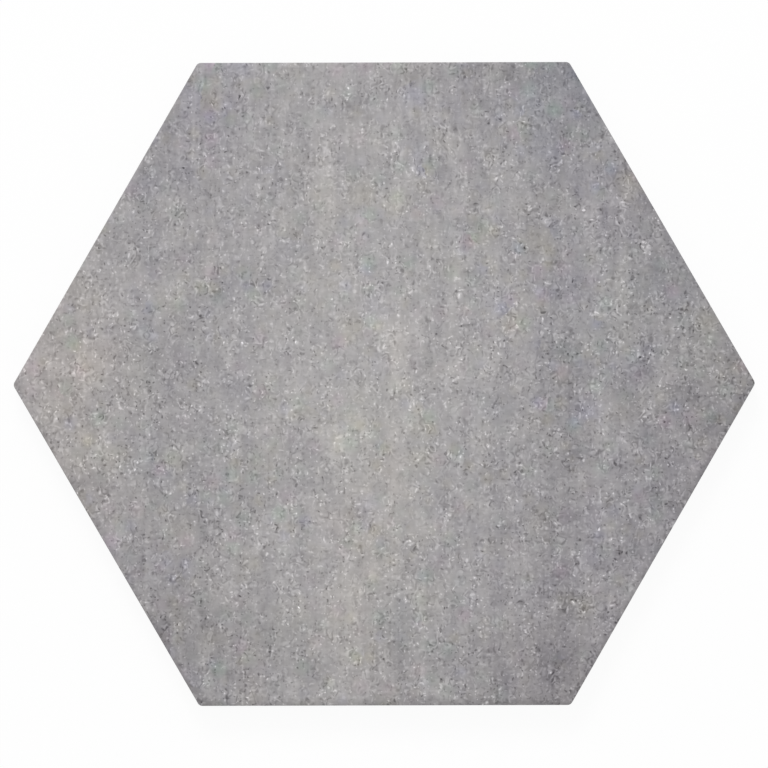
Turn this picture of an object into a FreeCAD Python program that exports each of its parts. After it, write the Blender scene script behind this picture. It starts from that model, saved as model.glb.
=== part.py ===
import FreeCAD, Part
import math
import os
import Sketcher

# Hexagon floor tile: one body of matt stone-effect porcelain, pressed and fired in one piece.
# The walking face is up and the back lies on z = 0, with the origin at the middle of the back.
# Two sides run along X, so two of the six corners point along X.

NODE = "hexagon_tile"

# Driving sizes in millimetres, and the draft in degrees
SIZES = [
    ("across_flats", 216.0, "width from side to opposite side"),
    ("thickness", 9.0, "height from the back ribs to the walking face"),
    ("corner_radius", 1.8, "rounding of the six upright edges"),
    ("cushion_width", 3.0, "width of the rounded rim of the walking face"),
    ("cushion_drop", 0.8, "fall of the rounded rim from the face to the sides"),
    ("bevel_width", 0.8, "inset of the back outline behind the sides"),
    ("bevel_height", 1.6, "height of the sloped strip between the back and the sides"),
    ("plain_border", 8.0, "least width of the plain strip round the keying cells"),
    ("cell_pitch", 17.5, "spacing of the keying cells"),
    ("rib_width", 2.5, "width of the ribs between the cells, at the back plane"),
    ("cell_depth", 0.7, "depth of the keying cells"),
    ("cell_draft", 25.0, "lean of the cell walls, which frees the mould"),
]

SIDES = 6
FULL_TURN = 360

# A corner of a regular hexagon lies further out than the middle of its sides by this factor
CORNER_REACH = "2 / sqrt(3)"
OUTLINE_CORNER = f"Sizes.across_flats / 2 * ({CORNER_REACH})"
CELL_CORNER = f"(Sizes.cell_pitch - Sizes.rib_width) / 2 * ({CORNER_REACH})"

# Rings of cells round the middle one: as many as leave the plain border its width
ROW_SPACING = "Sizes.cell_pitch * sqrt(3) / 2"
ROOM_FOR_ROWS = f"Sizes.across_flats / 2 - Sizes.plain_border - {CELL_CORNER}"
RING_COUNT = f"floor(({ROOM_FOR_ROWS}) / ({ROW_SPACING}))"

# The sketcher's numbers for the ends and the centre of a curve, and for a sketch's X axis
START, END, CENTRE = 1, 2, 3
X_AXIS = -1
ORIGIN = (X_AXIS, START)

UPWARDS = FreeCAD.Vector(0, 0, 1)

doc = FreeCAD.newDocument("HexagonTile")
sheet = doc.addObject("Spreadsheet::Sheet", "Sizes")
for row, (alias, value, meaning) in enumerate(SIZES, start=1):
    sheet.set(f"A{row}", meaning)
    sheet.set(f"B{row}", str(value))
    sheet.setAlias(f"B{row}", alias)
doc.recompute()

body = doc.addObject("PartDesign::Body", "Tile")
body.Label = NODE
body.Placement = FreeCAD.Placement()


def origin_feature(role):
    """The body's origin plane or axis of that role."""
    return next(item for item in body.Origin.OriginFeatures if item.Role == role)


def new_sketch(name, plane):
    """An empty sketch on one of the body's origin planes."""
    sketch = body.newObject("Sketcher::SketchObject", name)
    sketch.AttachmentSupport = (origin_feature(plane), [""])
    sketch.MapMode = "FlatFace"
    return sketch


def tie(sketch, kind, *where):
    """Adds a constraint to a sketch and returns its number."""
    return sketch.addConstraint(Sketcher.Constraint(kind, *where))


def drive(sketch, name, formula, kind, *where):
    """Adds a dimension that follows a formula of the sheet's sizes."""
    index = tie(sketch, kind, *where, float(sketch.evalExpression(formula)))
    sketch.renameConstraint(index, name)
    sketch.setExpression(f"Constraints.{name}", formula)


def add_hexagon(sketch, middle, first_angle, corner_formula):
    """Draws a regular hexagon in a construction circle whose radius follows the formula.

    Returns the numbers of the circle and of the side that starts at the first corner. The
    middle and the turn are left for the caller to tie.
    """
    reach = float(sketch.evalExpression(corner_formula))
    angles = [math.radians(first_angle + k * FULL_TURN / SIDES) for k in range(SIDES)]
    corners = [middle + FreeCAD.Vector(math.cos(a), math.sin(a), 0) * reach for a in angles]
    lines = [Part.LineSegment(a, b) for a, b in zip(corners, corners[1:] + corners[:1])]
    sides = list(sketch.addGeometry(lines, False))
    circle = sketch.addGeometry(Part.Circle(middle, UPWARDS, reach), True)
    for side, following in zip(sides, sides[1:] + sides[:1]):
        tie(sketch, "Coincident", side, END, following, START)
        tie(sketch, "PointOnObject", side, START, circle)
    for side in sides[1:]:
        tie(sketch, "Equal", sides[0], side)
    drive(sketch, "corner_reach", corner_formula, "Radius", circle)
    return circle, sides[0]


def finish_cut(feature):
    """Makes a cut the body's tip, and stops the build if it took nothing away."""
    body.Tip = feature
    doc.recompute()
    if feature.Shape.isNull() or feature.Shape.Volume >= feature.BaseFeature.Shape.Volume:
        raise RuntimeError(f"{feature.Name} cuts nothing")
    return feature


def edge_names(feature, wanted):
    """The names of the feature's edges whose bounding boxes pass the test."""
    edges = enumerate(feature.Shape.Edges, start=1)
    return [f"Edge{number}" for number, edge in edges if wanted(edge.BoundBox)]


def cut_cell(name, steps_out):
    """Cuts one keying cell up into the back, as many steps out along X as given.

    A corner of the cell points along Y, so that neighbouring cells face each other flat to
    flat, and its walls lean inwards.
    """
    formula = f"{steps_out} * Sizes.cell_pitch"
    sketch = new_sketch(f"{name}Section", "XY_Plane")
    middle = FreeCAD.Vector(float(sketch.evalExpression(formula)), 0, 0)
    circle, first_side = add_hexagon(sketch, middle, FULL_TURN / 4, CELL_CORNER)
    tie(sketch, "PointOnObject", circle, CENTRE, X_AXIS)
    tie(sketch, "Vertical", circle, CENTRE, first_side, START)
    drive(sketch, "steps_out", formula, "DistanceX", *ORIGIN, circle, CENTRE)
    cell = body.newObject("PartDesign::Pocket", name)
    cell.Profile = sketch
    cell.Reversed = True
    cell.setExpression("Length", "Sizes.cell_depth")
    cell.setExpression("TaperAngle", "-Sizes.cell_draft")
    return finish_cut(cell)


def cell_row(name, direction, count_formula):
    """A straight row of cells, one pitch apart, for the honeycomb to combine."""
    line = body.newObject("PartDesign::LinearPattern", name)
    line.Direction = direction
    line.Mode = "Spacing"
    line.setExpression("Offset", "Sizes.cell_pitch")
    line.setExpression("Occurrences", count_formula)
    return line


def turned_copies(name, count):
    """Copies spread evenly round the tile's upright axis."""
    ring = body.newObject("PartDesign::PolarPattern", name)
    ring.Axis = (origin_feature("Z_Axis"), [""])
    ring.Angle = FULL_TURN
    ring.Occurrences = count
    return ring


# Blank: the outline, as thick as the tile
outline = new_sketch("Outline", "XY_Plane")
outline_circle, first_side = add_hexagon(outline, FreeCAD.Vector(), 0, OUTLINE_CORNER)
tie(outline, "Coincident", outline_circle, CENTRE, *ORIGIN)
tie(outline, "PointOnObject", first_side, START, X_AXIS)

blank = body.newObject("PartDesign::Pad", "Blank")
blank.Profile = outline
blank.setExpression("Length", "Sizes.thickness")
doc.recompute()

# Corners: the six upright edges, rounded against chipping
corners = body.newObject("PartDesign::Fillet", "Corners")
corners.Base = (blank, edge_names(blank, lambda box: box.ZLength > sheet.thickness / 2))
corners.setExpression("Radius", "Sizes.corner_radius")
finish_cut(corners)

# Back bevel: the sloped strip between the back and the sides
bevel = body.newObject("PartDesign::Chamfer", "BackBevel")
bevel.Base = (corners, edge_names(corners, lambda box: box.ZMax < sheet.thickness / 2))
bevel.ChamferType = "Two distances"
bevel.setExpression("Size", "Sizes.bevel_height")
bevel.setExpression("Size2", "Sizes.bevel_width")
finish_cut(bevel)

# Cushion: the rounded rim of the walking face, an arc that starts level with the face.
# It is cut along one side and repeated on the others.
rim_radius = (sheet.cushion_width**2 + sheet.cushion_drop**2) / (2 * sheet.cushion_drop)
square_edge = FreeCAD.Vector(sheet.across_flats / 2, sheet.thickness, 0)
rim_top = square_edge - FreeCAD.Vector(sheet.cushion_width, 0, 0)
rim_foot = square_edge - FreeCAD.Vector(0, sheet.cushion_drop, 0)
rim_circle = Part.Circle(rim_top - FreeCAD.Vector(0, rim_radius, 0), UPWARDS, rim_radius)
foot_angle = math.acos(sheet.cushion_width / rim_radius)

rim = new_sketch("CushionSection", "YZ_Plane")
arc = rim.addGeometry(Part.ArcOfCircle(rim_circle, foot_angle, math.pi / 2), False)
level = rim.addGeometry(Part.LineSegment(rim_top, square_edge), False)
plumb = rim.addGeometry(Part.LineSegment(square_edge, rim_foot), False)
tie(rim, "Tangent", arc, END, level, START)
tie(rim, "Coincident", level, END, plumb, START)
tie(rim, "Coincident", plumb, END, arc, START)
tie(rim, "Horizontal", level)
tie(rim, "Vertical", plumb)
drive(rim, "half_width", "Sizes.across_flats / 2", "DistanceX", *ORIGIN, level, END)
drive(rim, "face_height", "Sizes.thickness", "DistanceY", *ORIGIN, level, END)
drive(rim, "rim_width", "Sizes.cushion_width", "DistanceX", level, START, level, END)
drive(rim, "rim_drop", "Sizes.cushion_drop", "DistanceY", plumb, END, plumb, START)

cushion_side = body.newObject("PartDesign::Pocket", "CushionSide")
cushion_side.Profile = rim
cushion_side.Type = "ThroughAll"
cushion_side.SideType = "Symmetric"
finish_cut(cushion_side)

cushion = turned_copies("Cushion", SIDES)
cushion.Originals = [cushion_side]
finish_cut(cushion)

# Keying relief: a honeycomb of shallow cells in the back, which the adhesive fills.
# A rhomb of cells, its rows along X and along the first side, is turned to fill the three
# thirds of the field round the middle cell.
cut_cell("MiddleCell", 0)
first_cell = cut_cell("FirstCell", 1)

honeycomb = body.newObject("PartDesign::MultiTransform", "Honeycomb")
honeycomb.Originals = [first_cell]
honeycomb.Refine = False
honeycomb.Transformations = [
    cell_row("RowOutwards", (origin_feature("X_Axis"), [""]), RING_COUNT),
    cell_row("RowAlongSide", (outline, ["Edge1"]), f"{RING_COUNT} + 1"),
    turned_copies("Thirds", 3),
]
finish_cut(honeycomb)

# Nothing is written unless every feature is sound and the tile is one valid solid
broken = [item.Name for item in doc.Objects if {"Invalid", "Error"} & set(item.State)]
if broken:
    raise RuntimeError(f"failed features: {broken}")
if not body.Shape.isValid() or len(body.Shape.Solids) != 1:
    raise RuntimeError("the tile is not one valid solid")

os.makedirs("parts", exist_ok=True)
body.Shape.exportStep(f"parts/{NODE}.step")
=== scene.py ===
import math

import bmesh
import bpy
from mathutils import Matrix, Vector, noise


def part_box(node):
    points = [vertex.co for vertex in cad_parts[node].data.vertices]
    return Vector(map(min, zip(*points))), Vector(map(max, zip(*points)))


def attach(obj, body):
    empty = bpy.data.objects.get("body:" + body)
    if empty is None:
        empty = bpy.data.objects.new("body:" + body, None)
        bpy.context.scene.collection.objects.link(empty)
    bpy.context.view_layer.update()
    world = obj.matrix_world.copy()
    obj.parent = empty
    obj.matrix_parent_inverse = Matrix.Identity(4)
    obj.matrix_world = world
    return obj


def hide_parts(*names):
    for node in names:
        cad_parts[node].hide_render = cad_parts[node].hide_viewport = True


# Hexagon floor tile, matt stone-effect porcelain: one pressed and fired piece, seen from above.
# Everything is in metres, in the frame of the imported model: the face is up, two sides run along X.

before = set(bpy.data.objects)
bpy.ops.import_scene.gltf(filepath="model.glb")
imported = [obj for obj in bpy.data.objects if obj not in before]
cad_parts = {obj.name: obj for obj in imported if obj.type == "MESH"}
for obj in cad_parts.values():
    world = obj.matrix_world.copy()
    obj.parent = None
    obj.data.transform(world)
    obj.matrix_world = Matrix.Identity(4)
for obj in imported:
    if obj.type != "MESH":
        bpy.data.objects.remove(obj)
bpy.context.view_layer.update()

MM = 0.001
SIDES = 6
SIXTH = 2 * math.pi / SIDES
HALF_SIXTH = SIXTH / 2

# Overall sizes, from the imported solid
face_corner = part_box("hexagon_tile")[1]
HALF_FLATS = face_corner.y
FACE_HEIGHT = face_corner.z

# Rim of the face, corners and back bevel
CORNER_RADIUS = 1.8 * MM
CUSHION_WIDTH = 3.0 * MM
CUSHION_DROP = 0.8 * MM
CUSHION_RADIUS = (CUSHION_WIDTH**2 + CUSHION_DROP**2) / (2 * CUSHION_DROP)
ARRIS_RADIUS = 0.35 * MM
BEVEL_WIDTH = 0.8 * MM
BEVEL_HEIGHT = 1.6 * MM
BEVEL_TOP_ROUNDING = 0.7 * MM
BEVEL_FOOT_ROUNDING = 0.35 * MM

# Keying cells of the back
CELL_PITCH = 17.5 * MM
RIB_WIDTH = 2.5 * MM
CELL_DEPTH = 0.7 * MM
CELL_DRAFT = math.radians(25)
CELL_RINGS = 6
CELL_CORNER_ROUNDING = 1.1 * MM
CELL_CORNER_SEGMENTS = 3
CELL_EDGE_ROUNDING = 0.18 * MM
CELL_EDGE_SEGMENTS = 2
MERGE_DISTANCE = 0.01 * MM

# Rows of the mesh: in the whole face, in its cushioned rim and in the eased arris round it, down
# the land, which is the plain side, and round each edge of the back bevel
FACE_ROWS = 144
CUSHION_ROWS = 7
ARRIS_ROWS = 4
LAND_ROWS = 7
ARC_ROWS = 2

# How strongly the face's mesh crowds towards the corners, over what share of a side, and how far
# in from the sides, so that the arcs of the corners stay round
CROWDING = 0.65
CROWDED_SHARE = 0.1
CROWDED_BORDER = 15 * MM


def blend_curve(share):
    """Smooth ease from 0 to 1."""
    share = min(max(share, 0.0), 1.0)
    return share * share * (3 - 2 * share)


def outline_reach(turn):
    """Distance from the middle to the rounded outline, at an angle from the middle of a side."""
    arc_centre = (HALF_FLATS - CORNER_RADIUS) / math.cos(HALF_SIXTH)
    arc_start = math.atan((HALF_FLATS - CORNER_RADIUS) * math.tan(HALF_SIXTH) / HALF_FLATS)
    if abs(turn) <= arc_start:
        return HALF_FLATS / math.cos(turn)
    off = arc_centre * math.sin(HALF_SIXTH - abs(turn))
    along = arc_centre * math.cos(HALF_SIXTH - abs(turn))
    return along + math.sqrt(CORNER_RADIUS**2 - off**2)


def rim_section():
    """The section from the middle of the face to the top of the land, as (inset, height) by row."""
    arc_height = FACE_HEIGHT - CUSHION_RADIUS
    reach = CUSHION_RADIUS - ARRIS_RADIUS
    lean = math.asin((CUSHION_WIDTH - ARRIS_RADIUS) / reach)
    arris_height = arc_height + reach * math.cos(lean)
    flat_rows = FACE_ROWS - ARRIS_ROWS - CUSHION_ROWS
    rows = []
    for row in range(flat_rows):
        inset = HALF_FLATS + (CUSHION_WIDTH - HALF_FLATS) * row / flat_rows
        rows.append((inset, FACE_HEIGHT))
    for step in range(CUSHION_ROWS):
        angle = lean * step / CUSHION_ROWS
        inset = CUSHION_WIDTH - CUSHION_RADIUS * math.sin(angle)
        rows.append((inset, arc_height + CUSHION_RADIUS * math.cos(angle)))
    for step in range(ARRIS_ROWS + 1):
        angle = lean + (math.pi / 2 - lean) * step / ARRIS_ROWS
        inset = ARRIS_RADIUS * (1 - math.sin(angle))
        rows.append((inset, arris_height + ARRIS_RADIUS * math.cos(angle)))
    return rows


def rounded_turn(corner, before, after, radius):
    """Points of an arc that rounds the corner of a section between two neighbouring points."""
    towards_before = (before - corner).normalized()
    towards_after = (after - corner).normalized()
    half_angle = towards_before.angle(towards_after) / 2
    tangent = radius / math.tan(half_angle)
    start = corner + towards_before * tangent
    end = corner + towards_after * tangent
    points = []
    for step in range(ARC_ROWS + 1):
        share = step / ARC_ROWS
        points.append(start.lerp(corner, share).lerp(corner.lerp(end, share), share))
    return points


def flank_section(land_top):
    """The section from the top of the land to the back, as (inset, height)."""
    top = Vector((0, land_top, 0))
    bevel_top = Vector((0, BEVEL_HEIGHT, 0))
    bevel_foot = Vector((BEVEL_WIDTH, 0, 0))
    inwards = Vector((HALF_FLATS, 0, 0))
    upper = rounded_turn(bevel_top, top, bevel_foot, BEVEL_TOP_ROUNDING)
    lower = rounded_turn(bevel_foot, bevel_top, inwards, BEVEL_FOOT_ROUNDING)
    land = [top.lerp(upper[0], step / LAND_ROWS) for step in range(1, LAND_ROWS)]
    slope = [upper[-1].lerp(lower[0], 0.5)]
    return [(point.x, point.y) for point in land + upper + slope + lower]


# Relief cut into the solid: its length and its depth in metres, and its octaves
FACE_WAVE = (26 * MM, 0.05 * MM, 2)
FACE_PITS = (5 * MM, 0.035 * MM, 3)
SIDE_GRAIN = (3 * MM, 0.03 * MM, 3)
OCTAVE_FALL = 1.0
OCTAVE_STEP = 2.0


def cut_depth(place, length, depth, octaves):
    """Depth of a random relief, from 0 to the full depth."""
    height = noise.fractal(
        place / length, OCTAVE_FALL, OCTAVE_STEP, octaves, noise_basis="PERLIN_ORIGINAL"
    )
    return depth * min(max(0.5 + 0.5 * height, 0.0), 1.0)


def crowded(share, inset):
    """Moves a point of a row along its side towards the corner, in the outer border only."""
    from_corner = 1 - abs(share)
    shift = CROWDING * CROWDED_SHARE
    moved = from_corner - shift * (1 - math.exp(-from_corner / CROWDED_SHARE))
    moved /= 1 - shift * (1 - math.exp(-1 / CROWDED_SHARE))
    strength = blend_curve(1 - inset / CROWDED_BORDER)
    from_corner += (moved - from_corner) * strength
    return math.copysign(1 - from_corner, share)


def shape_face(mesh, section):
    """Makes the face as a lattice of even triangles and moves each row to its place."""
    flat_reach = 1 / math.cos(HALF_SIXTH)
    turned = Matrix.Rotation(math.radians(90), 4, "Z")
    bmesh.ops.create_circle(
        mesh, cap_ends=True, cap_tris=True, segments=SIDES, radius=flat_reach, matrix=turned
    )
    bmesh.ops.subdivide_edges(mesh, edges=mesh.edges[:], cuts=FACE_ROWS - 1, use_grid_fill=True)
    for vertex in mesh.verts:
        direction = math.atan2(vertex.co.y, vertex.co.x)
        side_middle = (math.floor(direction / SIXTH) + 0.5) * SIXTH
        turn = direction - side_middle
        row = round(vertex.co.xy.length * math.cos(turn) * FACE_ROWS)
        inset, height = section[row]
        share = crowded(math.tan(turn) / math.tan(HALF_SIXTH), inset)
        turn = math.atan(share * math.tan(HALF_SIXTH))
        reach = outline_reach(turn) * (1 - inset / HALF_FLATS)
        angle = side_middle + turn
        place = Vector((reach * math.cos(angle), reach * math.sin(angle), 0))
        relief = cut_depth(place, *FACE_WAVE) + cut_depth(place, *FACE_PITS)
        relief *= blend_curve(inset / CUSHION_WIDTH)
        vertex.co = place + Vector((0, 0, height - relief))


def border_edges(mesh):
    """The edges with a face on one side only."""
    return [edge for edge in mesh.edges if edge.is_boundary]


def only_vertices(items):
    """The vertices among the results of an operator."""
    return [item for item in items if isinstance(item, bmesh.types.BMVert)]


def only_edges(items):
    """The edges among the results of an operator."""
    return [item for item in items if isinstance(item, bmesh.types.BMEdge)]


def extrude_flank(mesh, section):
    """Draws the rim of the face down row by row to the back."""
    last_inset = 0.0
    edges = border_edges(mesh)
    for inset, height in section:
        grown = bmesh.ops.extrude_edge_only(mesh, edges=edges)["geom"]
        scale = (HALF_FLATS - inset) / (HALF_FLATS - last_inset)
        for vertex in only_vertices(grown):
            vertex.co = Vector((vertex.co.x * scale, vertex.co.y * scale, height))
        edges = [edge for edge in only_edges(grown) if edge.is_boundary]
        last_inset = inset


def roughen_flank(vertices):
    """Cuts the grain of the pressed body into the sides, without widening them."""
    for vertex in vertices:
        outwards = Vector((vertex.co.x, vertex.co.y, 0))
        vertex.co -= outwards.normalized() * cut_depth(vertex.co, *SIDE_GRAIN)


def keying_cell():
    """One cell with the halves of its ribs, its floor up and the ribs on the back plane."""
    cell = bmesh.new()
    bmesh.ops.create_circle(cell, cap_ends=True, segments=SIDES, radius=CELL_PITCH / math.sqrt(3))
    bmesh.ops.inset_individual(
        cell, faces=cell.faces[:], thickness=RIB_WIDTH / 2, use_even_offset=True
    )
    floor = [face for face in cell.faces if len(face.verts) == SIDES]
    lean = CELL_DEPTH * math.tan(CELL_DRAFT)
    bmesh.ops.inset_individual(
        cell, faces=floor, thickness=lean, depth=-CELL_DEPTH, use_even_offset=True
    )
    slants = [
        edge
        for edge in cell.edges
        if abs(edge.verts[0].co.z - edge.verts[1].co.z) > CELL_DEPTH / 2
    ]
    rounding = {"affect": "EDGES", "profile": 0.5, "material": -1}
    bmesh.ops.bevel(
        cell, geom=slants, offset=CELL_CORNER_ROUNDING, segments=CELL_CORNER_SEGMENTS, **rounding
    )
    wall_edges = []
    for edge in cell.edges:
        heights = [vertex.co.z for vertex in edge.verts]
        at_foot = max(heights) < -CELL_DEPTH / 2
        at_top = min(heights) > -CELL_DEPTH / 2
        depths = [min(vertex.co.z for vertex in face.verts) for face in edge.link_faces]
        meets_wall = len(depths) == 2 and min(depths) < -CELL_DEPTH / 2
        if at_foot or (at_top and meets_wall):
            wall_edges.append(edge)
    bmesh.ops.bevel(
        cell, geom=wall_edges, offset=CELL_EDGE_ROUNDING, segments=CELL_EDGE_SEGMENTS, **rounding
    )
    bmesh.ops.rotate(cell, verts=cell.verts[:], matrix=Matrix.Rotation(math.pi, 3, "X"))
    return cell


def cell_places():
    """Middles of the keying cells: rings of neighbours one pitch apart, two of them along X."""
    across = Vector((CELL_PITCH, 0, 0))
    aslant = Matrix.Rotation(SIXTH, 3, "Z") @ across
    steps = range(-CELL_RINGS, CELL_RINGS + 1)
    return [across * i + aslant * j for i in steps for j in steps if abs(i + j) <= CELL_RINGS]


def add_honeycomb(mesh):
    """Sets the cells into the back and closes the plain border round them."""
    cell = keying_cell()
    original = cell.verts[:] + cell.edges[:] + cell.faces[:]
    for place in cell_places():
        copy = bmesh.ops.duplicate(cell, geom=original)["geom"]
        bmesh.ops.translate(cell, verts=only_vertices(copy), vec=place)
    bmesh.ops.delete(cell, geom=only_vertices(original))
    bmesh.ops.remove_doubles(cell, verts=cell.verts[:], dist=MERGE_DISTANCE)
    holder = bpy.data.meshes.new("honeycomb")
    cell.to_mesh(holder)
    cell.free()
    mesh.from_mesh(holder)
    bpy.data.meshes.remove(holder)
    bmesh.ops.triangle_fill(mesh, use_beauty=True, edges=border_edges(mesh))


def new_object(name, mesh):
    """Puts a finished mesh into the scene as an object."""
    data = bpy.data.meshes.new(name)
    mesh.to_mesh(data)
    mesh.free()
    item = bpy.data.objects.new(name, data)
    bpy.context.scene.collection.objects.link(item)
    return item


def make_tile():
    """The whole tile as one closed piece: printed face, plain sides and ribbed back."""
    mesh = bmesh.new()
    section = rim_section()
    shape_face(mesh, section)
    face_vertices = set(mesh.verts)
    face_faces = set(mesh.faces)
    extrude_flank(mesh, flank_section(section[-1][1]))
    roughen_flank([vertex for vertex in mesh.verts if vertex not in face_vertices])
    add_honeycomb(mesh)
    for face in mesh.faces:
        face.smooth = True
        face.material_index = 0 if face in face_faces else 1
    bmesh.ops.recalc_face_normals(mesh, faces=mesh.faces[:])
    return new_object("stone_tile", mesh)


class Nodes:
    """Adds nodes to a tree and links them, so that a finish is written in the order it works."""

    def __init__(self, tree):
        self.tree = tree

    def add(self, kind, **settings):
        """A new node with its settings."""
        node = self.tree.nodes.new(kind)
        for name, value in settings.items():
            setattr(node, name, value)
        return node

    def feed(self, socket, value):
        """Links a socket to another one, or sets it to a plain value."""
        if isinstance(value, bpy.types.NodeSocket):
            self.tree.links.new(value, socket)
        elif socket.type == "VECTOR" and isinstance(value, (int, float)):
            socket.default_value = (value, value, value)
        else:
            socket.default_value = value

    def math(self, operation, *values):
        """The result of a Math node."""
        node = self.add("ShaderNodeMath", operation=operation)
        for socket, value in zip(node.inputs, values):
            self.feed(socket, value)
        return node.outputs[0]

    def vector(self, operation, *values):
        """The result of a Vector Math node."""
        node = self.add("ShaderNodeVectorMath", operation=operation)
        for socket, value in zip(node.inputs, values):
            self.feed(socket, value)
        return node.outputs["Value" if operation == "DOT_PRODUCT" else "Vector"]

    def scaled(self, place, x, y, z):
        """A place with each of its coordinates multiplied."""
        return self.vector("MULTIPLY", place, (x, y, z))

    def ramp(self, value, low, high, out_low=0.0, out_high=1.0, smooth=True):
        """Eases from one value to another while the input goes from low to high."""
        kind = "SMOOTHSTEP" if smooth else "LINEAR"
        node = self.add("ShaderNodeMapRange", interpolation_type=kind)
        for name, number in (
            ("Value", value),
            ("From Min", low),
            ("From Max", high),
            ("To Min", out_low),
            ("To Max", out_high),
        ):
            self.feed(node.inputs[name], number)
        return node.outputs["Result"]

    def total(self, *values):
        """The sum of several values."""
        result = values[0]
        for value in values[1:]:
            result = self.math("ADD", result, value)
        return result

    def raise_by(self, shader, height, distance):
        """Raises the surface by the height, at so many metres for each level."""
        bump = self.add("ShaderNodeBump")
        bump.inputs["Distance"].default_value = distance
        bump.inputs["Strength"].default_value = 1.0
        self.feed(bump.inputs["Height"], height)
        self.feed(shader.inputs["Normal"], bump.outputs["Normal"])

    def use(self, group, **values):
        """Places a node group and returns the node."""
        node = self.add("ShaderNodeGroup", node_tree=group)
        for name, value in values.items():
            self.feed(node.inputs[name.replace("_", " ").capitalize()], value)
        return node


def new_group(name, inputs, outputs):
    """An empty shader node group with named sockets, its helper and its input and output nodes."""
    group = bpy.data.node_groups.new(name, "ShaderNodeTree")
    for label, kind, default in inputs:
        socket = group.interface.new_socket(label, in_out="INPUT", socket_type=kind)
        if default is not None:
            socket.default_value = default
    for label, kind in outputs:
        group.interface.new_socket(label, in_out="OUTPUT", socket_type=kind)
    nodes = Nodes(group)
    return group, nodes, nodes.add("NodeGroupInput").outputs, nodes.add("NodeGroupOutput").inputs


FLOAT = "NodeSocketFloat"
VECTOR = "NodeSocketVector"


def mottle_group():
    """Cloudy variation about 0 from coarse to fine, drawn out upright."""
    group, nodes, given, result = new_group(
        "Clouding",
        [
            ("Place", VECTOR, None),
            ("Size", FLOAT, 10.0),
            ("Stretch", FLOAT, 1.3),
            ("Octaves", FLOAT, 3.0),
            ("Roughness", FLOAT, 0.9),
        ],
        [("Value", FLOAT)],
    )
    stretch = nodes.add("ShaderNodeCombineXYZ")
    nodes.feed(stretch.inputs[0], 1.0)
    nodes.feed(stretch.inputs[1], nodes.math("DIVIDE", 1.0, given["Stretch"]))
    nodes.feed(stretch.inputs[2], 1.0)
    stretched = nodes.vector("MULTIPLY", given["Place"], stretch.outputs[0])
    texture = nodes.add("ShaderNodeTexNoise", noise_dimensions="3D", normalize=False)
    nodes.feed(texture.inputs["Vector"], stretched)
    nodes.feed(texture.inputs["Scale"], nodes.math("DIVIDE", 1.0, given["Size"]))
    nodes.feed(texture.inputs["Detail"], given["Octaves"])
    nodes.feed(texture.inputs["Roughness"], given["Roughness"])
    nodes.feed(result["Value"], texture.outputs[0])
    return group


# Least strength of a fleck, and the most that chance adds to it
FLECK_LEAST = 0.3
FLECK_CHANCE = 0.7


def fleck_group():
    """Scattered flecks with soft rims: above 0 where light, below 0 where dark, 0 between them."""
    group, nodes, given, result = new_group(
        "Flecks",
        [
            ("Place", VECTOR, None),
            ("Spacing", FLOAT, 2.0),
            ("Radius", FLOAT, 0.4),
            ("Squeeze", VECTOR, (1.0, 1.0, 1.0)),
            ("Softness", FLOAT, 0.5),
            ("Light share", FLOAT, 0.5),
        ],
        [("Value", FLOAT)],
    )
    texture = nodes.add("ShaderNodeTexVoronoi", voronoi_dimensions="3D", feature="F1")
    nodes.feed(texture.inputs["Vector"], nodes.vector("MULTIPLY", given["Place"], given["Squeeze"]))
    nodes.feed(texture.inputs["Scale"], nodes.math("DIVIDE", 1.0, given["Spacing"]))
    distance = nodes.math("MULTIPLY", texture.outputs["Distance"], given["Spacing"])
    nearness = nodes.math("SUBTRACT", 1.0, nodes.math("DIVIDE", distance, given["Radius"]))
    inside = nodes.ramp(nearness, 0.0, given["Softness"])
    chance = nodes.add("ShaderNodeSeparateColor")
    nodes.feed(chance.inputs[0], texture.outputs["Color"])
    is_light = nodes.math("LESS_THAN", chance.outputs[0], given["Light share"])
    sign = nodes.math("MULTIPLY_ADD", is_light, 2.0, -1.0)
    strength = nodes.math("MULTIPLY_ADD", chance.outputs[1], FLECK_CHANCE, FLECK_LEAST)
    signed = nodes.math("MULTIPLY", sign, strength)
    nodes.feed(result["Value"], nodes.math("MULTIPLY", signed, inside))
    return group


# Shift that keeps the patches of curved strokes apart from the strokes, in mm, and the values of
# their field from where none show to where they are whole
CONTOUR_PATCH_SHIFT = (50.0, -20.0, -36.0)
CONTOUR_PATCH_RANGE = (-0.1, 0.3)


def contour_group():
    """Short curved strokes, light and dark by turns, along the contours of a random field."""
    group, nodes, given, result = new_group(
        "Contour strokes",
        [
            ("Place", VECTOR, None),
            ("Size", FLOAT, 2.2),
            ("Stretch", FLOAT, 1.3),
            ("Turns", FLOAT, 9.5),
            ("Patch size", FLOAT, 2.6),
        ],
        [("Value", FLOAT)],
    )
    place, stretch = given["Place"], given["Stretch"]
    field = nodes.use(mottle, place=place, size=given["Size"], stretch=stretch, octaves=0.0)
    angle = nodes.math("MULTIPLY", field.outputs["Value"], given["Turns"])
    aside = nodes.vector("ADD", place, CONTOUR_PATCH_SHIFT)
    patch = nodes.use(mottle, place=aside, size=given["Patch size"], stretch=stretch, octaves=0.0)
    shown = nodes.ramp(patch.outputs["Value"], *CONTOUR_PATCH_RANGE)
    nodes.feed(result["Value"], nodes.math("MULTIPLY", nodes.math("SINE", angle), shown))
    return group


# What is left of a patch at its half size
PATCH_FADE = math.exp(-1)


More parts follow.
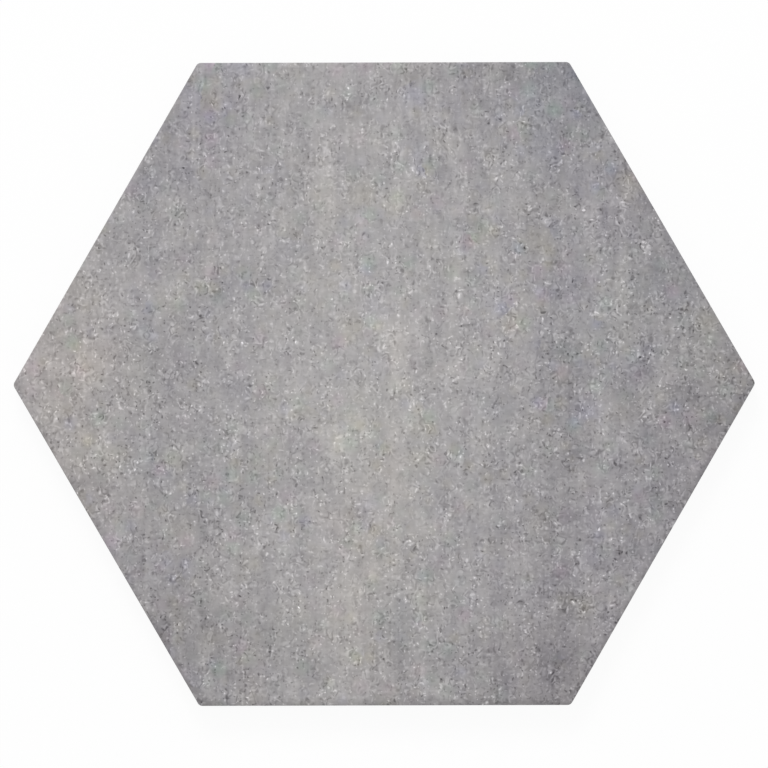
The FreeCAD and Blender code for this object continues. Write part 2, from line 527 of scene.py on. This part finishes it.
def patch_group():
    """Adds one soft-edged oval patch to what was laid down before it."""
    group, nodes, given, result = new_group(
        "Soft patch",
        [
            ("Place", VECTOR, None),
            ("Before", VECTOR, None),
            ("Narrowing", VECTOR, (0.1, 0.1, 0.0)),
            ("Shift", VECTOR, None),
            ("Change", VECTOR, None),
        ],
        [("After", VECTOR)],
    )
    off = nodes.vector("MULTIPLY_ADD", given["Place"], given["Narrowing"], given["Shift"])
    strength = nodes.math("POWER", PATCH_FADE, nodes.vector("DOT_PRODUCT", off, off))
    change = nodes.add("ShaderNodeVectorMath", operation="SCALE")
    nodes.feed(change.inputs["Vector"], given["Change"])
    nodes.feed(change.inputs["Scale"], strength)
    nodes.feed(result["After"], nodes.vector("ADD", given["Before"], change.outputs["Vector"]))
    return group


mottle = mottle_group()
flecks = fleck_group()
contours = contour_group()
soft_patch = patch_group()

# Tones are written in screen levels, from 0 to 255, and turned into light by this power
SCREEN_POWER = 2.2
LEVEL = 1 / 255

# How a warmer and a greener tone share out over red, green and blue at the same lightness
WARMER = (0.43, -0.07, -0.57)
GREENER = (-0.715, 0.285, -0.715)


def place_in_mm(nodes):
    """The place on the piece, in millimetres."""
    coordinates = nodes.add("ShaderNodeTexCoord").outputs["Object"]
    return nodes.scaled(coordinates, 1 / MM, 1 / MM, 1 / MM)


def new_material(name):
    """A material with its Principled shader, ready for its colour."""
    material = bpy.data.materials.new(name)
    material.use_nodes = True
    nodes = Nodes(material.node_tree)
    shader = material.node_tree.nodes["Principled BSDF"]
    return material, nodes, shader


def screen_colour(nodes, tone, warmth, greenness):
    """A colour from its lightness and tint, all in screen levels."""
    tinted = nodes.vector("MULTIPLY_ADD", warmth, WARMER, tone)
    tinted = nodes.vector("MULTIPLY_ADD", greenness, GREENER, tinted)
    power = nodes.add("ShaderNodeGamma")
    nodes.feed(power.inputs["Color"], nodes.vector("MULTIPLY", tinted, (LEVEL, LEVEL, LEVEL)))
    nodes.feed(power.inputs["Gamma"], SCREEN_POWER)
    return power.outputs[0]


# Grain of the printed face: name, spacing and radius in mm, squeeze along X, Y and Z, which under
# 1 draws the flecks out, softness of the rims, share of light flecks, and strength in screen levels
FACE_FLECKS = [
    ("crumbs", 2.1, 0.78, (1.0, 1.0, 1.0), 0.5, 0.45, 20),
    ("fine crumbs", 1.2, 0.4, (1.0, 0.9, 1.0), 0.5, 0.5, 36),
    ("upright strokes", 1.4, 0.45, (1.0, 0.34, 1.0), 0.5, 0.5, 23),
    ("level strokes", 1.6, 0.45, (0.38, 1.0, 1.0), 0.5, 0.5, 24),
    ("bright dots", 2.4, 0.37, (1.0, 1.0, 1.0), 0.7, 0.85, 42),
]

# Shift from one layer of flecks to the next, in mm
FLECK_STEP = (7.3, 3.1, 5.7)

# How far the flecks are pulled out of their round shapes, and over what length, in mm
FLECK_WARP = 1.4
FLECK_WARP_LENGTH = 1.8

# Curved strokes of the grain: shift in mm, size and upright stretch of the field whose contours
# they follow, its turns from light to dark, size of the patches where they show, and strength in
# screen levels
CONTOUR_SHIFT = (12.0, 33.0, 41.0)
CONTOUR_SIZE = 2.2
CONTOUR_STRETCH = 1.3
CONTOUR_TURNS = 9.5
CONTOUR_PATCH = 2.6
CONTOUR_STRENGTH = 12.0

# Cloudy patterns of the face: shift in mm, which keeps them apart, size in mm, upright stretch,
# octaves and roughness
NO_SHIFT = (0.0, 0.0, 0.0)
COARSE_CLOUDS = (NO_SHIFT, 11.0, 1.15, 0.7, 0.9)
FINE_CLOUDS = (NO_SHIFT, 3.2, 1.1, 1.6, 0.8)
BROAD_STREAKS = (NO_SHIFT, 7.0, 8.0, 2.0, 0.75)
THIN_STREAKS = ((5.0, 60.0, 19.0), 1.6, 4.5, 1.0, 0.7)
LEVEL_STREAKS = ((35.0, 6.0, 29.0), 3.2, 0.3, 1.0, 0.6)
GRAIN_CROWD = ((50.0, 20.0, 9.0), 5.5, 1.3, 1.0, 0.9)
TINT_CROWD = ((90.0, 40.0, 49.0), 24.0, 1.3, 1.0, 0.9)

# Their strength in screen levels; for the upright streaks without and with the whole share of them
COARSE_STRENGTH = 9.2
FINE_STRENGTH = 7.4
BROAD_STRENGTH = (5.6, 6.8)
THIN_STRENGTH = (5.6, 15.0)
LEVEL_STRENGTH = 6.0

# How the grain and the tints crowd: values of their pattern from sparse to dense, and how strong
# they are there
GRAIN_CROWDING = (-0.6, 0.6, 0.55, 1.43)
TINT_CROWDING = (-0.4, 0.6, 0.5, 1.6)

# Strength of the grain and of the clouding, and share of the streaks, over most of the face
FACE_STRENGTH = (1.05, 1.075, 0.0)

# Where they change: x, y, half width and half height in mm; stronger grain, clouding and streaks
STRENGTH_PATCHES = [
    (0, 112, 110, 50, -0.19, -0.2, 1.0),
    (-6, -10, 34, 90, -0.13, -0.13, 0),
    (92, 0, 36, 50, 0.11, 0.16, 0),
    (-90, -30, 28, 40, 0.11, 0.08, 0),
    (60, -98, 34, 34, 0.05, 0.22, 0),
    (-60, -98, 26, 26, 0.05, 0.1, 0.15),
    (63, 100, 20, 16, -0.14, 0, 0),
]

# Height of a level of the printed grain, and roughness of the glaze
PRINT_BUMP = 0.0006 * MM
FACE_ROUGHNESS = 0.7

# Print of the face: ground tone, warmth and greenness in screen levels
FACE_GROUND = (150.65, 0.75, -2.2)

# Soft patches of the print's own mottling, and among them painted light falloff, lighter in the
# middle and towards the left and darker towards the right and the bottom: x, y, half width and half
# height in mm; lighter, warmer, greener
FACE_PATCHES = [
    (-3, -5, 40, 95, 14, 1.5, 0.6),
    (-104, -2, 22, 42, 11, 4.5, 0.5),
    (105, -10, 34, 80, -10, -0.5, -0.3),
    (58, -20, 8, 120, -6, -0.5, 0),
    (58, -95, 22, 34, -9, 0, -0.8),
    (60, 98, 18, 26, -9, -4.5, -0.4),
    (-70, -88, 16, 26, -8, 0, -0.4),
    (-21, 86, 6, 22, 5, 0.5, 0),
    (-45, 75, 6, 30, 3, 0, 0),
    (-65, 88, 14, 22, -3, -1.8, -1.0),
    (6, 14, 5, 10, 5, 3, 0.5),
    (3, -28, 7, 14, 4, 3, 0),
    (-3, -60, 14, 50, 2, 2, 0.5),
    (-36, -52, 12, 16, 3, 0.5, 0),
    (4, -80, 7, 10, -8, -3.6, 0),
    (-79, 8, 4, 10, -5, -1, 0),
    (73, -14, 6, 9, 4, 1, 0.5),
    (62, 8, 7, 4, -4, -1, 0),
    (32, 85, 4, 30, -3, 0, 0),
    (40, 60, 4, 45, 2, 0, 0),
    (-55, -68, 6, 8, 4, 1, 0),
    (-97, 10, 8, 7, 1, 2.5, 0),
    (-19, 60, 7, 8, 1, 2.5, 0.5),
    (-22, 33, 8, 12, 1, 1.5, 0.5),
    (16, 48, 5, 5, 1, 2, 1),
    (-30, -8, 6, 6, 1, 2, 1),
    (-8, -12, 13, 18, 0, 1, 1),
    (83, 22, 8, 14, 0, 1.5, 1.2),
    (108, 10, 6, 14, 3, 2.2, 1.2),
    (63, 33, 7, 8, 2, -2, -1),
    (36, -10, 6, 6, 0, -2, 0),
    (-53, 28, 8, 18, -1, -1.8, -0.5),
    (72, 62, 16, 14, -1, -0.6, -1.2),
    (85, -50, 45, 60, 0, -0.6, -0.8),
    (84, 62, 12, 16, -7, -1.2, -0.5),
    (100, 36, 10, 16, -7, -2, 0),
    (42, 106, 30, 10, -9, -0.6, -0.5),
    (48, -100, 36, 24, -7, 0.2, 0),
    (-14, -80, 13, 20, 6, 2.4, 0.5),
    (-54, -86, 9, 20, -4, 0.8, 0.8),
    (9, -42, 6, 26, -3, 0, 0),
    (63, -45, 7, 45, -4, 0, 0),
    (112, -10, 12, 14, -5, 0, 0),
    (105, 14, 9, 9, 4, 0, 0.6),
    (48, 18, 7, 12, 8, 0.8, 0),
    (-95, 27, 8, 12, 3, 0, 0),
    (-25, -14, 14, 12, 3, 0.6, 0),
    (-58, 32, 7, 16, -3, 0, 0),
    (-92, -52, 6, 10, 4, 0.6, 0),
    (24, -52, 7, 10, 3, 0.5, 0),
    (-108, 8, 12, 24, 0, 2.2, 0.3),
    (-4, -62, 9, 12, 0, 1.5, 0.3),
    (-36, -82, 9, 10, 0, 1.6, 1.2),
    (70, 12, 20, 40, 0, -1.2, -0.2),
    (30, 93, 13, 9, 0, -1.3, -0.9),
    (-78, -28, 8, 6, 0, -2.0, 0.3),
    (63, 86, 8, 12, -6, -0.8, -1.0),
    (0, -87, 9, 9, -10, -0.4, -0.4),
    (18, -68, 11, 8, -3.5, 0, 0),
    (-67, -82, 8, 14, -8, -0.4, 0),
    (-44, -99, 6, 9, -11, -0.8, -1.3),
    (-109, -7, 8, 9, -8, 0, 0),
    (-82, 5, 5, 13, -4, 0, 0.6),
    (-70, 3, 6, 14, 3, 0.6, 0),
    (6, 95, 7, 14, 5.5, 0.5, 0),
    (-59, 98, 8, 9, -6, -2.2, -1.0),
    (-1, -69, 7, 6, 8, 0, 0),
    (48, -72, 8, 8, 8, 0, 0),
    (70, 66, 7, 9, 3.5, 0, 0.3),
    (27, 42, 11, 13, -3, -1.0, 0),
    (30, 52, 6, 6, 0, -1.8, -0.4),
    (88, 32, 12, 6, 3.5, -0.8, 0.8),
    (-27, 74, 7, 9, 3, 0.6, 0),
    (13, -21, 6, 12, 0, -2.0, 0),
    (67, -12, 7, 7, 5.5, 2.6, 0.4),
    (-14, -46, 12, 8, 0, 3.4, 0),
    (-97, -34, 9, 15, 0, 2.0, 0.3),
    (-68, -55, 14, 7, 0, 1.4, 0),
    (66, -74, 8, 7, 0, -1.6, 0),
    (97, 27, 7, 12, 0, -1.6, -0.8),
    (-10, 50, 8, 7, 0, 0, 1.3),
    (71, 17, 7, 7, 0, 0, 1.1),
    (84, -38, 8, 7, 0, 0, 1.1),
    (-118, 6, 6, 8, 0, -1.0, -1.6),
    (-98, -20, 7, 7, 0, -1.6, 0),
    (-73, -24, 6, 6, 0, -1.6, 0),
    (94, -5, 8, 7, -3.5, 1.4, 1.0),
    (-52, 92, 10, 10, 0, -0.9, -1.0),
    (-50, -84, 9, 12, -2, 0, -0.9),
    (3, -74, 5, 14, -3, 0, 0),
    (89, 9, 5, 8, 6.5, 0, 0),
    (8, 76, 10, 10, 2.5, 0.3, 0),
    (-82, -38, 6, 10, -5, 0, 0),
    (-55, -100, 5, 12, 6, 0, 0),
    (51, -54, 6, 9, -5, 0, 0),
    (56, -21, 5, 6, -5, 0, 0),
    (27, 103, 6, 6, 6, 0, 0),
    (50, 92, 5, 11, 7, -1.5, 0),
    (18, 92, 5, 9, -4, 0, 0),
    (2, 33, 6, 7, 5, 0, 0),
    (-48, 21, 9, 8, -4, 0, 0),
    (-50, -32, 6, 7, -4, 0, 0),
]

# Scattered soft tints of the print, from ochre to violet and from green to rose: shift of the
# pattern, spacing and radius in mm, and warmth and greenness in screen levels
FACE_TINTS = [
    ((47.0, 23.0, 3.0), 15.0, 8.5, 5.2, 1.9),
    ((71.0, 12.0, 3.0), 6.5, 3.5, 5.4, 2.0),
    ((31.0, 52.0, 3.0), 8.5, 4.5, -1.7, 5.2),
]

# Share of the tints that get the warmth and greenness as given, where the rest get the opposite,
# and softness of their rims
TINT_LIGHT_SHARE = 0.66
TINT_SOFTNESS = 1.0

# How much warmer and greener the print is where its clouding is a level lighter
CLOUD_WARMTH = 0.17
CLOUD_GREENNESS = 0.065

# How far the edges of the patches wander and over what length, in mm, and in how many octaves
PATCH_WANDER = 9.0
PATCH_WANDER_LENGTH = 16.0
PATCH_WANDER_OCTAVES = 3.0


def warped(nodes, place, reach, length, octaves=0.0):
    """The place moved at random, so that what is laid there gets wandering edges."""
    wander = nodes.add("ShaderNodeTexNoise", noise_dimensions="3D")
    nodes.feed(wander.inputs["Vector"], place)
    wander.inputs["Scale"].default_value = 1 / length
    wander.inputs["Detail"].default_value = octaves
    shift = nodes.vector("SUBTRACT", wander.outputs["Color"], (0.5, 0.5, 0.5))
    return nodes.vector("MULTIPLY_ADD", shift, (reach, reach, reach), place)


def clouding(nodes, place, shift, size, stretch, octaves, roughness):
    """The value of a cloudy pattern."""
    pattern = nodes.use(
        mottle,
        place=nodes.vector("ADD", place, shift),
        size=size,
        stretch=stretch,
        octaves=octaves,
        roughness=roughness,
    )
    return pattern.outputs["Value"]


def lay_patches(nodes, place, ground, patches):
    """Lays soft patches on a plain ground one after the other, and returns its three values."""
    laid = ground
    for x, y, half_width, half_height, *change in patches:
        patch = nodes.use(
            soft_patch,
            place=place,
            before=laid,
            narrowing=(1 / half_width, 1 / half_height, 0.0),
            shift=(-x / half_width, -y / half_height, 0.0),
            change=change,
        )
        laid = patch.outputs["After"]
    parts = nodes.add("ShaderNodeSeparateXYZ")
    nodes.feed(parts.inputs[0], laid)
    return parts.outputs


# Painted shade that darkens the face towards its sides: width of the shade in mm, and its depth in
# screen levels
PAINTED_RIM_SHADE_WIDTH = 3.6
PAINTED_RIM_SHADE = 6.0


def inset_from_sides(nodes, place):
    """Distance from the nearest side of the outline, in mm."""
    folded = nodes.vector("ABSOLUTE", place)
    towards_end = nodes.vector("DOT_PRODUCT", folded, (0.0, 1.0, 0.0))
    aslant = (math.cos(HALF_SIXTH), math.sin(HALF_SIXTH), 0.0)
    towards_slanted = nodes.vector("DOT_PRODUCT", folded, aslant)
    reach = nodes.math("MAXIMUM", towards_end, towards_slanted)
    return nodes.math("SUBTRACT", HALF_FLATS / MM, reach)


def face_clouds(nodes, place, cloudy, streaky):
    """Coarse clouds and broad upright streaks, in screen levels."""
    clouds = nodes.math("MULTIPLY", clouding(nodes, place, *COARSE_CLOUDS), COARSE_STRENGTH)
    strength = nodes.ramp(streaky, 0.0, 1.0, *BROAD_STRENGTH, smooth=False)
    streaks = clouding(nodes, place, *BROAD_STREAKS)
    clouds = nodes.math("MULTIPLY_ADD", streaks, strength, clouds)
    return nodes.math("MULTIPLY", clouds, cloudy)


def face_strokes(nodes, place, pulled, streaky):
    """Thin upright and level streaks and short curved strokes, in screen levels."""
    strength = nodes.ramp(streaky, 0.0, 1.0, *THIN_STRENGTH, smooth=False)
    strokes = nodes.math("MULTIPLY", clouding(nodes, place, *THIN_STREAKS), strength)
    level = clouding(nodes, place, *LEVEL_STREAKS)
    strokes = nodes.math("MULTIPLY_ADD", level, LEVEL_STRENGTH, strokes)
    curved = nodes.use(
        contours,
        place=nodes.vector("ADD", pulled, CONTOUR_SHIFT),
        size=CONTOUR_SIZE,
        stretch=CONTOUR_STRETCH,
        turns=CONTOUR_TURNS,
        patch_size=CONTOUR_PATCH,
    )
    return nodes.math("MULTIPLY_ADD", curved.outputs["Value"], CONTOUR_STRENGTH, strokes)


def face_flecks(nodes, pulled):
    """The layers of flecks, each in screen levels."""
    layers = []
    for number, settings in enumerate(FACE_FLECKS):
        name, spacing, radius, squeeze, softness, light_share, strength = settings
        shift = [number * along for along in FLECK_STEP]
        layer = nodes.use(
            flecks,
            place=nodes.vector("ADD", pulled, shift),
            spacing=spacing,
            radius=radius,
            squeeze=squeeze,
            softness=softness,
            light_share=light_share,
        )
        layer.label = name
        layers.append(nodes.math("MULTIPLY", layer.outputs["Value"], strength))
    return layers


def with_tints(nodes, place, pulled, warmth, greenness):
    """The warmth and greenness with the scattered soft tints added."""
    gathered = nodes.ramp(clouding(nodes, place, *TINT_CROWD), *TINT_CROWDING)
    for shift, spacing, radius, warmer, greener in FACE_TINTS:
        tint = nodes.use(
            flecks,
            place=nodes.vector("ADD", pulled, shift),
            spacing=spacing,
            radius=radius,
            softness=TINT_SOFTNESS,
            light_share=TINT_LIGHT_SHARE,
        )
        shown = nodes.math("MULTIPLY", tint.outputs["Value"], gathered)
        warmth = nodes.math("MULTIPLY_ADD", shown, warmer, warmth)
        greenness = nodes.math("MULTIPLY_ADD", shown, greener, greenness)
    return warmth, greenness


def face_material():
    """Printed and glazed face: soft upright clouding under a fine salt-and-pepper grain."""
    material, nodes, shader = new_material("Stone face")
    place = place_in_mm(nodes)
    wandering = warped(nodes, place, PATCH_WANDER, PATCH_WANDER_LENGTH, PATCH_WANDER_OCTAVES)
    # The tone holds the print's patches together with painted light falloff, darker towards the
    # right and the bottom
    tone, warmth, greenness = lay_patches(nodes, wandering, FACE_GROUND, FACE_PATCHES)
    lively, cloudy, streaky = lay_patches(nodes, wandering, FACE_STRENGTH, STRENGTH_PATCHES)
    clouds = face_clouds(nodes, place, cloudy, streaky)
    pulled = warped(nodes, place, FLECK_WARP, FLECK_WARP_LENGTH)
    strokes = face_strokes(nodes, place, pulled, streaky)
    layers = face_flecks(nodes, pulled)
    crowding = nodes.ramp(clouding(nodes, place, *GRAIN_CROWD), *GRAIN_CROWDING)
    busy = nodes.math("MULTIPLY", crowding, lively)
    speckle = nodes.math("MULTIPLY", nodes.total(strokes, *layers), busy)
    mist = clouding(nodes, place, *FINE_CLOUDS)
    fine = nodes.math("MULTIPLY", mist, nodes.math("MULTIPLY", cloudy, FINE_STRENGTH))
    # Painted shade: the face's colour darkens over the last few mm towards every side
    painted_rim_shade = nodes.ramp(inset_from_sides(nodes, place), 0.0, PAINTED_RIM_SHADE_WIDTH, -PAINTED_RIM_SHADE, 0.0)
    tone = nodes.total(tone, clouds, fine, speckle, painted_rim_shade)
    warmth = nodes.math("MULTIPLY_ADD", clouds, CLOUD_WARMTH, warmth)
    greenness = nodes.math("MULTIPLY_ADD", clouds, CLOUD_GREENNESS, greenness)
    warmth, greenness = with_tints(nodes, place, pulled, warmth, greenness)
    nodes.feed(shader.inputs["Base Color"], screen_colour(nodes, tone, warmth, greenness))
    shader.inputs["Roughness"].default_value = FACE_ROUGHNESS
    crumbs = layers[0]
    raised = nodes.math("MULTIPLY_ADD", mist, FINE_STRENGTH, crumbs)
    nodes.raise_by(shader, raised, PRINT_BUMP)
    return material


# Fired body: ground tone, warmth and greenness, height of a level of its grain, and roughness
BODY_GROUND = (166.0, 3.0, -1.4)
BODY_BUMP = 0.0012 * MM
BODY_ROUGHNESS = 0.85

# Cloudy patterns of the body: shift, size, stretch, octaves and roughness, as on the face
BODY_CLOUDS = (NO_SHIFT, 14.0, 1.0, 3.0, 0.6)
BODY_GRAIN = (NO_SHIFT, 1.5, 1.0, 2.0, 0.8)
DRAG_MARKS = (NO_SHIFT, 0.9, 1.0, 1.0, 0.9)
POWDER_PATCHES = (NO_SHIFT, 16.0, 0.3, 3.0, 0.8)
PRINT_EDGE_WAVES = (NO_SHIFT, 2.4, 1.0, 2.0, 0.7)

# Their strength in screen levels, and how far the upright drag marks of the mould are drawn out
BODY_CLOUD_STRENGTH = 7.0
BODY_GRAIN_STRENGTH = 7.0
DRAG_STRENGTH = 5.0
DRAG_SQUEEZE = 0.1

# Grains and pits of the body: name, shift, spacing and radius in mm, softness of the rims, share
# of light ones, and strength in screen levels
BODY_FLECKS = [
    ("sand", NO_SHIFT, 1.3, 0.5, 0.5, 0.5, 13.0),
    ("pits", (3.0, 8.0, 21.0), 3.2, 0.55, 0.8, 0.0, 30.0),
]

# How far its grains and pits are pulled out of their round shapes, and over what length, in mm
SAND_WARP = 1.1
SAND_WARP_LENGTH = 1.1

# Kiln powder on the back: how far up it reaches, in mm, how much lighter it is, and the values of
# its pattern from wiped off to left on
POWDER_REACH = 0.6
POWDER_TONE = 34.0
POWDER_RANGE = (-0.6, 0.7)

# Edge of the print on the sides: how far below the face's rim it lies, how far it wanders and how
# soft it is, in mm, and how much darker the print is
PRINT_EDGE = 0.45
PRINT_EDGE_WANDER = 0.35
PRINT_EDGE_SOFTNESS = 0.15
PRINT_EDGE_TONE = -14.0


def body_grain(nodes, place):
    """Fine grain, drag marks of the mould, sand and pits, in screen levels."""
    fine = clouding(nodes, place, *BODY_GRAIN)
    grain = nodes.math("MULTIPLY", fine, BODY_GRAIN_STRENGTH)
    drag = clouding(nodes, nodes.scaled(place, 1.0, 1.0, DRAG_SQUEEZE), *DRAG_MARKS)
    grain = nodes.math("MULTIPLY_ADD", drag, DRAG_STRENGTH, grain)
    pulled = warped(nodes, place, SAND_WARP, SAND_WARP_LENGTH)
    for name, shift, spacing, radius, softness, light_share, strength in BODY_FLECKS:
        layer = nodes.use(
            flecks,
            place=nodes.vector("ADD", pulled, shift),
            spacing=spacing,
            radius=radius,
            softness=softness,
            light_share=light_share,
        )
        layer.label = name
        grain = nodes.math("MULTIPLY_ADD", layer.outputs["Value"], strength, grain)
    return grain


def body_material():
    """Bare fired body of the sides and the back: sandy, pitted, and dusted with kiln powder."""
    material, nodes, shader = new_material("Fired body")
    place = place_in_mm(nodes)
    clouds = clouding(nodes, place, *BODY_CLOUDS)
    grain = body_grain(nodes, place)
    height = nodes.vector("DOT_PRODUCT", place, (0.0, 0.0, 1.0))
    low_down = nodes.ramp(height, 0.0, POWDER_REACH, 1.0, 0.0)
    left_on = nodes.ramp(clouding(nodes, place, *POWDER_PATCHES), *POWDER_RANGE)
    powder = nodes.math("MULTIPLY", low_down, left_on)
    waves = clouding(nodes, place, *PRINT_EDGE_WAVES)
    reach = nodes.math("MULTIPLY_ADD", waves, PRINT_EDGE_WANDER, height)
    print_edge = rim_section()[-1][1] / MM - PRINT_EDGE
    printed = nodes.ramp(reach, print_edge, print_edge + PRINT_EDGE_SOFTNESS)
    tone, warmth, greenness = BODY_GROUND
    tone = nodes.total(
        tone,
        nodes.math("MULTIPLY", clouds, BODY_CLOUD_STRENGTH),
        grain,
        nodes.math("MULTIPLY", powder, POWDER_TONE),
        nodes.math("MULTIPLY", printed, PRINT_EDGE_TONE),
    )
    warmth = nodes.math("MULTIPLY_ADD", printed, -warmth, warmth)
    nodes.feed(shader.inputs["Base Color"], screen_colour(nodes, tone, warmth, greenness))
    shader.inputs["Roughness"].default_value = BODY_ROUGHNESS
    nodes.raise_by(shader, grain, BODY_BUMP)
    return material


# Camera straight above the middle, with a long lens as for a catalogue picture: distance from the
# face and width of the picture there in metres, offset, turn, and how far it sees
CAMERA_DISTANCE = 2.5
FRAME_WIDTH = 257.88 * MM
SENSOR_WIDTH = 36.0
CAMERA_OFFSET = (-0.067 * MM, -0.019 * MM)
CAMERA_TURN = math.radians(-0.15)
CAMERA_SIGHT = 100.0


def add_camera():
    """Looks straight down, with the +Y side of the tile at the top of the picture."""
    data = bpy.data.cameras.new("camera")
    data.sensor_width = SENSOR_WIDTH
    data.lens = SENSOR_WIDTH * CAMERA_DISTANCE / FRAME_WIDTH
    data.clip_end = CAMERA_SIGHT
    camera = bpy.data.objects.new("camera", data)
    camera.location = (*CAMERA_OFFSET, FACE_HEIGHT + CAMERA_DISTANCE)
    camera.rotation_euler = (0, 0, CAMERA_TURN)
    bpy.context.scene.collection.objects.link(camera)
    bpy.context.scene.camera = camera


# Light: an even pale surround, and one large soft lamp beyond the top side and a little to its
# left, which together light the face at a plain level
SURROUND_LEVEL = 0.735
LAMP_SHARE = 0.265
LAMP_DISTANCE = 2.2
LAMP_HEIGHT_ANGLE = math.radians(38)
LAMP_DIRECTION = math.radians(103)
LAMP_SIZE = 0.8


def add_lamp():
    """The soft lamp, at the power that gives its share of a plain light level."""
    data = bpy.data.lights.new("soft lamp", "AREA")
    data.shape = "SQUARE"
    data.size = LAMP_SIZE
    data.energy = LAMP_SHARE * (math.pi * LAMP_DISTANCE) ** 2 / math.sin(LAMP_HEIGHT_ANGLE)
    lamp = bpy.data.objects.new("soft_lamp", data)
    level = math.cos(LAMP_HEIGHT_ANGLE)
    direction = Vector(
        (
            level * math.cos(LAMP_DIRECTION),
            level * math.sin(LAMP_DIRECTION),
            math.sin(LAMP_HEIGHT_ANGLE),
        )
    )
    lamp.location = direction * LAMP_DISTANCE
    lamp.rotation_euler = (-direction).to_track_quat("-Z", "Y").to_euler()
    bpy.context.scene.collection.objects.link(lamp)


def seen_directly(nodes):
    """1 for a ray from the camera, or through a mirror or glass, and 0 for light on the object."""
    path = nodes.add("ShaderNodeLightPath").outputs
    mirrored = nodes.math("MAXIMUM", path["Is Glossy Ray"], path["Is Transmission Ray"])
    return nodes.math("MAXIMUM", path["Is Camera Ray"], mirrored)


def add_surround():
    """White to look at, and a little darker as light on the object."""
    world = bpy.data.worlds.new("surround")
    bpy.context.scene.world = world
    world.use_nodes = True
    nodes = Nodes(world.node_tree)
    background = world.node_tree.nodes["Background"]
    background.inputs["Color"].default_value = (1, 1, 1, 1)
    strength = nodes.ramp(seen_directly(nodes), 0, 1, SURROUND_LEVEL, 1.0, smooth=False)
    nodes.feed(background.inputs["Strength"], strength)


# Floor: a wide pale sheet, whose own white hides most of the tile's faint shadow
FLOOR_RADIUS = 30.0
FLOOR_DROP = 0.02 * MM
FLOOR_WHITE = (0.93, 0.93, 0.93, 1)
FLOOR_GLOW = 0.92
FLOOR_SEGMENTS = 96


def add_floor():
    """The floor under the tile."""
    mesh = bmesh.new()
    bmesh.ops.create_circle(mesh, cap_ends=True, segments=FLOOR_SEGMENTS, radius=FLOOR_RADIUS)
    bmesh.ops.translate(mesh, verts=mesh.verts[:], vec=(0, 0, -FLOOR_DROP))
    floor = new_object("floor", mesh)
    material, nodes, shader = new_material("Pale floor")
    shader.inputs["Base Color"].default_value = FLOOR_WHITE
    shader.inputs["Roughness"].default_value = 1.0
    shader.inputs["Specular IOR Level"].default_value = 0.0
    glow = nodes.add("ShaderNodeEmission")
    glow.inputs["Strength"].default_value = 1.0
    mixed = nodes.add("ShaderNodeMixShader")
    nodes.feed(mixed.inputs[0], nodes.math("MULTIPLY", seen_directly(nodes), FLOOR_GLOW))
    nodes.feed(mixed.inputs[1], shader.outputs[0])
    nodes.feed(mixed.inputs[2], glow.outputs[0])
    output = material.node_tree.nodes["Material Output"]
    nodes.feed(output.inputs["Surface"], mixed.outputs[0])
    floor.data.materials.append(material)


add_camera()
add_lamp()
add_surround()
add_floor()

tile = make_tile()
tile.data.materials.append(face_material())
tile.data.materials.append(body_material())
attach(tile, "root")
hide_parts("hexagon_tile")

bpy.context.scene.view_settings.view_transform = "Standard"
